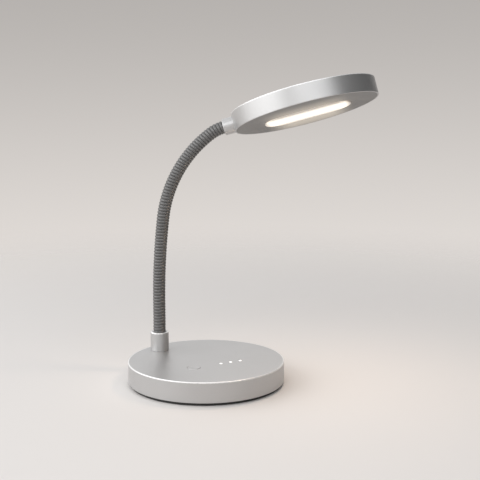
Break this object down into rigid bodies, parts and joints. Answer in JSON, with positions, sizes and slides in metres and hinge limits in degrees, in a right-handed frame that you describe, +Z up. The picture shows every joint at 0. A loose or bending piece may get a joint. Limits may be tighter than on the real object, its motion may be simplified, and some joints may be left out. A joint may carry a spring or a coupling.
{
  "type": "gooseneck desk lamp",
  "caption": "Round-based rechargeable desk lamp with a ribbed bendable neck, a flat disc head with a round-ended light window, and a push button beside small indicator lights.",
  "frame": {"origin": "centre of the round base at table level, on the foot pad's underside", "axes": "+Z up, -Y towards the user, across whose near side the button and indicator lights run along X; the neck stands at the back left and leans towards +X and -Y"},
  "size_m": [0.2361, 0.173, 0.2946],
  "materials": {
    "satin_silver": "satin",
    "neck_steel": "ribbed, satin",
    "black_lead": "matte",
    "grey_plate": "matte",
    "opal_lens": "opal, lit",
    "clear_pipe": "clear, lit",
    "dark_rubber": "matte",
    "plain_steel": "plain",
    "black_plate": "satin",
    "green_board": "gloss",
    "white_plastic": "matte",
    "led_yellow": "gloss",
    "raw_aluminium": "plain",
    "grey_pad": "matte",
    "battery_wrap": "gloss",
    "foam_pad": "foam",
    "red_lead": "matte",
    "ribbon_grey": "matte",
    "black_plastic": "matte"
  },
  "bodies": {
    "base": {"base_shell": "satin_silver", "bottom_plate": "black_plate", "foot_pad": "dark_rubber", "base_screws": "plain_steel", "ballast_plate": "plain_steel", "battery_pad": "foam_pad", "battery_pack": "battery_wrap", "battery_lead": "red_lead", "control_board": "green_board", "power_board": "green_board", "board_screws": "plain_steel", "usb_receptacle": "plain_steel", "switch_body": "black_plastic", "switch_dome": "plain_steel", "indicator_leds": "led_yellow", "light_pipes": "clear_pipe", "ribbon_lead": "ribbon_grey", "neck_socket": "satin_silver", "socket_grub_screw": "plain_steel", "socket_nut": "plain_steel", "lead_plug": "white_plastic", "neck_link_01": "neck_steel", "neck_lead_01": "black_lead"},
    "neck_02": {"neck_link_02": "neck_steel", "neck_lead_02": "black_lead"},
    "neck_03": {"neck_link_03": "neck_steel", "neck_lead_03": "black_lead"},
    "neck_04": {"neck_link_04": "neck_steel", "neck_lead_04": "black_lead"},
    "neck_05": {"neck_link_05": "neck_steel", "neck_lead_05": "black_lead"},
    "neck_06": {"neck_link_06": "neck_steel", "neck_lead_06": "black_lead"},
    "neck_07": {"neck_link_07": "neck_steel", "neck_lead_07": "black_lead"},
    "neck_08": {"neck_link_08": "neck_steel", "neck_lead_08": "black_lead"},
    "neck_09": {"neck_link_09": "neck_steel", "neck_lead_09": "black_lead"},
    "neck_10": {"neck_link_10": "neck_steel", "neck_lead_10": "black_lead"},
    "neck_11": {"neck_link_11": "neck_steel", "neck_lead_11": "black_lead"},
    "head": {"neck_link_12": "neck_steel", "neck_lead_12": "black_lead", "head_socket": "satin_silver", "head_nut": "plain_steel", "head_grub_screw": "plain_steel", "head_shell": "satin_silver", "underside_plate": "grey_plate", "diffuser": "opal_lens", "reflector_frame": "white_plastic", "led_board": "white_plastic", "led_terminal": "white_plastic", "led_chips": "led_yellow", "heat_spreader": "raw_aluminium", "thermal_pad": "grey_pad", "led_screws": "plain_steel"},
    "button": {"button_cap": "satin_silver", "switch_plunger": "black_plastic"}
  },
  "joints": [
    {"name": "neck_bend_low", "type": "hinge", "parent": "base", "child": "neck_02", "pos_m": [-0.024, 0.0545, 0.063], "axis": [0.5878, 0.809, 0], "range_deg": [-9, 9]},
    {"name": "neck_bend_02", "type": "hinge", "parent": "neck_02", "child": "neck_03", "pos_m": [-0.02395, 0.05447, 0.081], "axis": [0.5878, 0.809, 0], "range_deg": [-9, 9]},
    {"name": "neck_sway", "type": "hinge", "parent": "neck_03", "child": "neck_04", "pos_m": [-0.02358, 0.0542, 0.09899], "axis": [0.8084, -0.5873, -0.0385], "range_deg": [-9, 9]},
    {"name": "neck_bend_04", "type": "hinge", "parent": "neck_04", "child": "neck_05", "pos_m": [-0.02283, 0.05365, 0.11697], "axis": [0.5878, 0.809, 0], "range_deg": [-9, 9]},
    {"name": "neck_bend_05", "type": "hinge", "parent": "neck_05", "child": "neck_06", "pos_m": [-0.02171, 0.05284, 0.13492], "axis": [0.5878, 0.809, 0], "range_deg": [-9, 9]},
    {"name": "neck_sway_06", "type": "hinge", "parent": "neck_06", "child": "neck_07", "pos_m": [-0.02022, 0.05175, 0.15282], "axis": [0.8036, -0.5839, -0.1154], "range_deg": [-9, 9]},
    {"name": "neck_bend_high", "type": "hinge", "parent": "neck_07", "child": "neck_08", "pos_m": [-0.01767, 0.0499, 0.17053], "axis": [0.5878, 0.809, 0], "range_deg": [-9, 9]},
    {"name": "neck_bend_08", "type": "hinge", "parent": "neck_08", "child": "neck_09", "pos_m": [-0.01306, 0.04655, 0.18758], "axis": [0.5878, 0.809, 0], "range_deg": [-9, 9]},
    {"name": "neck_sway_09", "type": "hinge", "parent": "neck_09", "child": "neck_10", "pos_m": [-0.00647, 0.04176, 0.20361], "axis": [0.6923, -0.503, -0.5175], "range_deg": [-9, 9]},
    {"name": "neck_bend_10", "type": "hinge", "parent": "neck_10", "child": "neck_11", "pos_m": [0.00196, 0.03564, 0.21828], "axis": [0.5878, 0.809, 0], "range_deg": [-9, 9]},
    {"name": "neck_bend_11", "type": "hinge", "parent": "neck_11", "child": "head", "pos_m": [0.01204, 0.02832, 0.23125], "axis": [0.5878, 0.809, 0], "range_deg": [-9, 9]},
    {"name": "button_press", "type": "slide", "parent": "base", "child": "button", "axis": [0, 0, -1], "range_m": [0, 0.0005], "stiffness_N_per_m": 800, "deforming": ["switch_dome"]}
  ],
  "couplings": [
    {"joint": "neck_bend_02", "follows": "neck_bend_low", "ratio": 1},
    {"joint": "neck_bend_04", "follows": "neck_bend_low", "ratio": 1},
    {"joint": "neck_bend_05", "follows": "neck_bend_low", "ratio": 1},
    {"joint": "neck_bend_08", "follows": "neck_bend_high", "ratio": 1},
    {"joint": "neck_bend_10", "follows": "neck_bend_high", "ratio": 1},
    {"joint": "neck_bend_11", "follows": "neck_bend_high", "ratio": 1},
    {"joint": "neck_sway_06", "follows": "neck_sway", "ratio": 1},
    {"joint": "neck_sway_09", "follows": "neck_sway", "ratio": 1}
  ]
}
